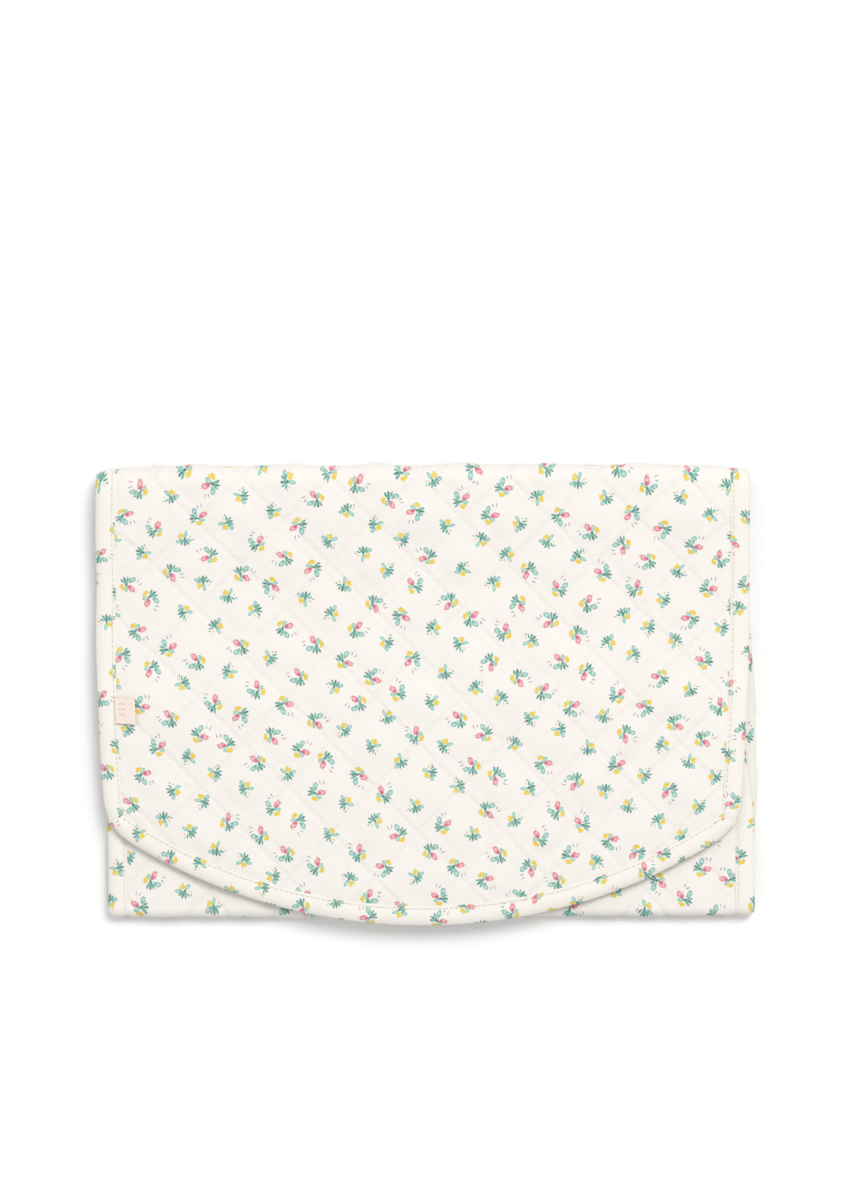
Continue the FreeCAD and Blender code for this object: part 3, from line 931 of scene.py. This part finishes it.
def sprig_print(n, cloth, ground):
    """The floral print's colour over a ground, from cloth coordinates in metres."""
    waver = n.vector("SUBTRACT", n.noise(cloth, 900.0, 1.0, output="Color"), (0.5, 0.5, 0.5))
    drawn = n.vector("ADD", cloth, n.scale(waver, BRUSH))
    turned = n.add(
        "VectorRotate", {"Vector": drawn, "Angle": LATTICE_TURN}, rotation_type="Z_AXIS"
    ).outputs[0]
    lattice = n.scale(turned, 1 / SPACING)
    cells = n.add(
        "TexVoronoi", {"Vector": lattice, "Scale": 1.0, "Randomness": 0.28}, voronoi_dimensions="2D"
    )
    draws = n.add("SeparateColor", {0: cells.outputs["Color"]}).outputs
    offset = n.vector("SUBTRACT", lattice, cells.outputs["Position"])
    local = n.scale(offset, SPACING / SPRIG)
    angle = n.math("MULTIPLY", draws[0], 2 * math.pi)
    local = n.add("VectorRotate", {"Vector": local, "Angle": angle}, rotation_type="Z_AXIS")
    mirrored = n.math("GREATER_THAN", draws[2], MIRROR_ABOVE)
    mirror = n.math("SUBTRACT", n.math("MULTIPLY", mirrored, -2.0), -1.0)
    mirror = n.add("CombineXYZ", {0: mirror, 1: 1.0, 2: 0.0}).outputs[0]
    local = n.vector("MULTIPLY", local.outputs[0], mirror)
    large = n.math("LESS_THAN", draws[1], LARGE_SHARE)
    small = n.math("SUBTRACT", 1.0, large)

    pale = n.ramp(n.noise(cloth, 620.0, 2.0), 0.32, 0.68, 0.98, 0.70, kind="LINEAR")
    colour = ground
    for strokes, which in ((LARGE_SPRIG, large), (SMALL_SPRIG, small)):
        ink = n.math("MULTIPLY", which, pale)
        for x, y, long, wide, degrees, inner, rim in strokes:
            reach = ellipse(n, local, x, y, long, wide, degrees)
            soft = 0.26 if wide < 1 else 0.15
            mask = n.ramp(reach, 1 - soft, 1 + soft, 1.0, 0.0)
            paint = n.mix(n.ramp(reach, 0.40, 0.85), inner, rim)
            colour = n.mix(n.math("MULTIPLY", mask, ink), colour, paint)
    return colour


WEAVE, WEAVE_DEPTH = 0.00050, 0.00006


def weave(n, cloth):
    """Height of a plain weave, with slubs, from cloth coordinates in metres."""
    parts = n.add("SeparateXYZ", {0: cloth}).outputs
    across = n.math("SINE", n.math("MULTIPLY", parts[0], 2 * math.pi / WEAVE))
    along = n.math("SINE", n.math("MULTIPLY", parts[1], 2 * math.pi / WEAVE))
    woven = n.math("MULTIPLY", n.math("MULTIPLY", across, along), 0.35)
    slub = n.math("MULTIPLY", n.noise(cloth, 700.0, 2.0), 1.2)
    return n.math("MULTIPLY", n.math("ADD", woven, slub), WEAVE_DEPTH)


def quilted_lines(n, cloth):
    """Distance in metres from the nearest of the quilting's diagonals."""
    parts = n.add("SeparateXYZ", {0: cloth}).outputs
    across = n.math("SUBTRACT", parts[0], LINE_U)
    along = n.math("SUBTRACT", parts[1], LINE_S)
    nearest = []
    for way in ("ADD", "SUBTRACT"):
        turn = n.math("DIVIDE", n.math(way, across, along), PITCH)
        turn = n.math("FRACT", n.math("ADD", turn, 0.5))
        from_line = n.math("ABSOLUTE", n.math("SUBTRACT", turn, 0.5))
        nearest.append(n.math("MULTIPLY", from_line, PITCH / DIAGONAL))
    return n.math("MINIMUM", *nearest)


def material(name):
    """A new material, the nodes of its tree and its shader."""
    made = bpy.data.materials.new(name)
    made.use_nodes = True
    made.node_tree.nodes.clear()
    n = Nodes(made.node_tree)
    shader = n.add("BsdfPrincipled")
    n.add("OutputMaterial", {"Surface": shader.outputs[0]})
    return made, n, shader


def set_inputs(n, shader, **values):
    """Set or link a shader's inputs by name."""
    for key, value in values.items():
        n.feed(shader.inputs[key.replace("_", " ")], value)


LINE_WIDTH, LINE_GROOVE = 0.0030, 0.00052  # of the quilting's lines in the bump
# painted shade along the quilting's lines: how dark the colour gets on a line, and over what width
LINE_SHADE, LINE_SHADE_WIDTH = 0.975, 0.0014


def cloth_material(name, printed, quilted, ground=IVORY):
    """Cotton: printed or plain, with a fine weave, its sewn lines with painted shade along the
    quilting, and a little unevenness.
    """
    made, n, shader = material(name)
    cloth = n.add("UVMap", uv_map="cloth").outputs[0]
    colour = sprig_print(n, cloth, ground) if printed else ground
    mottle = n.ramp(n.noise(cloth, 38.0, 3.0), 0.35, 0.75, 1.0, 0.975, kind="LINEAR")
    thread = n.noise(cloth, 1500.0, 1.0)
    tone = n.math("MULTIPLY", mottle, n.ramp(thread, 0.3, 0.7, 0.985, 1.01, kind="LINEAR"))
    height = weave(n, cloth)
    if quilted:
        line = quilted_lines(n, cloth)
        # painted shade: the colour darkens along the quilting's lines, where their grooves would lie
        # in shade
        tone = n.math("MULTIPLY", tone, n.ramp(line, 0.0, LINE_SHADE_WIDTH, LINE_SHADE, 1.0))
        height = n.math("ADD", height, n.ramp(line, 0.0, LINE_WIDTH, 0.0, LINE_GROOVE))
        close = n.ramp(line, 0.0, 0.009, 0.0010, 0.0)
        height = n.math("ADD", height, n.math("MULTIPLY", n.noise(cloth, 260.0, 1.0), close))
    grey = n.add("CombineColor", {0: tone, 1: tone, 2: tone}).outputs[0]
    bump = n.add("Bump", {"Height": height, "Strength": 0.6, "Distance": 1.0})
    rough = n.ramp(thread, 0.2, 0.8, 0.86, 0.96, kind="LINEAR")
    set_inputs(
        n, shader, Base_Color=n.mix(1.0, colour, grey, blend="MULTIPLY"), Roughness=rough,
        Normal=bump.outputs[0], Sheen_Weight=0.18, Sheen_Roughness=0.5, Specular_IOR_Level=0.18,
    )  # fmt: skip
    return made


def batting_material():
    """Soft white wadding: tangled fibres."""
    made, n, shader = material("wadding")
    where = n.add("TexCoord").outputs["Object"]
    tangle = n.noise(where, 900.0, 6.0, Distortion=1.5)
    colour = n.mix(tangle, seen(244, 243, 239), seen(253, 252, 249))
    bump = n.add("Bump", {"Height": tangle, "Strength": 0.7, "Distance": 0.0004})
    set_inputs(n, shader, Base_Color=colour, Roughness=0.97, Normal=bump.outputs[0], Sheen_Weight=0.3)
    return made


def thread_material(name, colour, darker):
    """Twisted sewing thread."""
    made, n, shader = material(name)
    where = n.add("TexCoord").outputs["Object"]
    twist = n.noise(where, 2600.0, 2.0)
    mixed = n.mix(n.ramp(twist, 0.35, 0.65), colour, darker)
    bump = n.add("Bump", {"Height": twist, "Strength": 0.4, "Distance": 0.0001})
    set_inputs(n, shader, Base_Color=mixed, Roughness=0.62, Normal=bump.outputs[0])
    return made


def label_material():
    """Peach woven tape with a few plain woven dashes."""
    made, n, shader = material("label_tape")
    cloth = n.add("UVMap", uv_map="cloth").outputs[0]
    ribs = n.add("TexWave", {"Vector": cloth, "Scale": 900.0, "Distortion": 0.3}, bands_direction="Y")
    colour = n.mix(ribs.outputs[0], PEACH, seen(251, 236, 222))
    dashes = [
        (0.0030, 0.0042, 0.0014, 0.00040, 25), (0.0055, 0.0041, 0.0014, 0.00040, -20),
        (0.0028, 0.0012, 0.0007, 0.00050, 60), (0.0046, 0.0010, 0.0007, 0.00050, -50),
        (0.0064, 0.0012, 0.0007, 0.00050, 60), (0.0034, -0.0022, 0.0009, 0.00050, -40),
        (0.0056, -0.0023, 0.0009, 0.00050, 40),
    ]  # fmt: skip
    for x, y, long, wide, degrees in dashes:
        reach = ellipse(n, cloth, x, y, long, wide, degrees)
        colour = n.mix(n.ramp(reach, 0.7, 1.3, 0.75, 0.0), colour, WOVEN_PINK)
    bump = n.add("Bump", {"Height": ribs.outputs[0], "Strength": 0.35, "Distance": 0.0001})
    set_inputs(n, shader, Base_Color=colour, Roughness=0.7, Normal=bump.outputs[0], Sheen_Weight=0.2)
    return made


def tape_material(name, scale, depth, colour):
    """Hook or loop tape: a field of tiny hooks or a brushed pile."""
    made, n, shader = material(name)
    where = n.add("TexCoord").outputs["Object"]
    field = n.add("TexVoronoi", {"Vector": where, "Scale": scale, "Randomness": 0.6}).outputs[0]
    height = n.math("ADD", field, n.math("MULTIPLY", n.noise(where, 2200.0, 4.0), 0.6))
    mixed = n.mix(n.ramp(height, 0.2, 0.9), colour, seen(222, 218, 208))
    bump = n.add("Bump", {"Height": height, "Strength": 0.8, "Distance": depth})
    set_inputs(n, shader, Base_Color=mixed, Roughness=0.75, Normal=bump.outputs[0])
    return made


# ------------------------------------------------------------------ camera and light
CAMERA_PLACE = (-0.0006, 0.0623, 1.780)
FLOOR_HALF, FLOOR_Z = 6.0, -0.0002


def camera():
    """Straight down, the pad a little below the middle."""
    data = bpy.data.cameras.new("camera")
    data.lens, data.sensor_width = 85, 36
    data.clip_start, data.clip_end = 0.1, 20
    obj = bpy.data.objects.new("camera", data)
    obj.location = CAMERA_PLACE
    bpy.context.scene.collection.objects.link(obj)
    bpy.context.scene.camera = obj


def area_light(name, place, size, power):
    """A square lamp that faces the pad."""
    data = bpy.data.lights.new(name, "AREA")
    data.size, data.energy = size, power
    obj = bpy.data.objects.new(name, data)
    obj.location = place
    obj.rotation_euler = (-Vector(place)).to_track_quat("-Z", "Y").to_euler()
    bpy.context.scene.collection.objects.link(obj)


def studio():
    """White table, white surroundings and a broad key from the upper right."""
    world = bpy.data.worlds.new("surroundings")
    world.use_nodes = True
    n = Nodes(world.node_tree)
    height = n.add("SeparateXYZ", {0: n.add("TexCoord").outputs["Generated"]}).outputs[2]
    background = world.node_tree.nodes["Background"]
    tint = n.mix(height, (1.0, 0.985, 0.95, 1), (1, 1, 1, 1))
    n.tree.links.new(tint, background.inputs["Color"])
    strength = n.ramp(height, 0.0, 1.0, 0.45, 0.965, kind="LINEAR")
    n.tree.links.new(strength, background.inputs["Strength"])
    bpy.context.scene.world = world
    area_light("key", (1.05, 1.92, 3.85), 1.6, 117)
    area_light("fill", (-0.9, 0.4, 1.7), 1.6, 2.5)
    made, n, shader = material("table")
    where = n.add("TexCoord").outputs["Object"]
    cloud = n.noise(where, 3.0, 2.0)
    colour = n.mix(cloud, (0.783, 0.783, 0.783, 1), (0.793, 0.793, 0.793, 1))
    set_inputs(n, shader, Base_Color=colour, Roughness=0.9, Specular_IOR_Level=0.1)
    around = ((-1, -1), (1, -1), (1, 1), (-1, 1))
    corners = [(x * FLOOR_HALF, y * FLOOR_HALF, FLOOR_Z) for x, y in around]
    floor = new_object("table", corners, [(0, 1, 2, 3)])
    floor.data.materials.append(made)
    bpy.context.scene.view_settings.view_transform = "Standard"


# ------------------------------------------------------------------ the whole
def dress(piece, made):
    """Give a piece its material."""
    piece.data.materials.clear()
    piece.data.materials.append(made)
    return piece


def build():
    """Make every piece and hide the frame's parts that each one replaces."""
    printed = cloth_material("printed_cotton", printed=True, quilted=True)
    # painted light: the bindings are the cover's own cloth, and their ground is a touch lighter and
    # warmer than IVORY to lift their rounded, less lit sides
    tape = cloth_material("printed_binding", True, quilted=False, ground=seen(248, 244, 236))
    plain = cloth_material("plain_lining", False, quilted=True, ground=seen(246, 241, 230))
    fluff = batting_material()
    ivory_thread = thread_material("ivory_thread", seen(250, 246, 234), seen(236, 228, 212))
    peach_thread = thread_material("peach_thread", seen(246, 235, 216), seen(226, 208, 184))

    for stretch in STRETCHES:
        top = dress(cover(stretch), printed)
        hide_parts(*nodes_for(stretch, "cover"))
        under = dress(lining(stretch), plain)
        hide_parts(*nodes_for(stretch, "lining"))
        filling = dress(batting(stretch), fluff)
        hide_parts(*nodes_for(stretch, "batting"))
        for word, side in (("left", -1), ("right", 1)):
            edge = dress(side_binding(stretch, word, side), tape)
            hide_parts(*nodes_for(stretch, f"{word}_binding"))
        for word, side in (("cover", 1), ("lining", -1)):
            quilted, edged = threads(stretch, word, side)
            dress(quilted, ivory_thread)
            dress(edged, peach_thread)

    arc = dress(curved_binding(), tape)
    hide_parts("flap_curved_binding")
    end = dress(end_binding(), tape)
    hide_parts("lower_end_binding")
    label = dress(side_label(), label_material())
    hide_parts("side_label")
    for node, body, scale, depth in (
        ("hook_patch", "flap", 900.0, 0.0005), ("loop_patch", "lower_panel", 500.0, 0.0003),
    ):  # fmt: skip
        dress(patch_thread(node, body), ivory_thread)
        made = tape_material(node, scale, depth, seen(240, 236, 226))
        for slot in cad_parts[node].material_slots:
            slot.material = made


camera()
studio()
build()
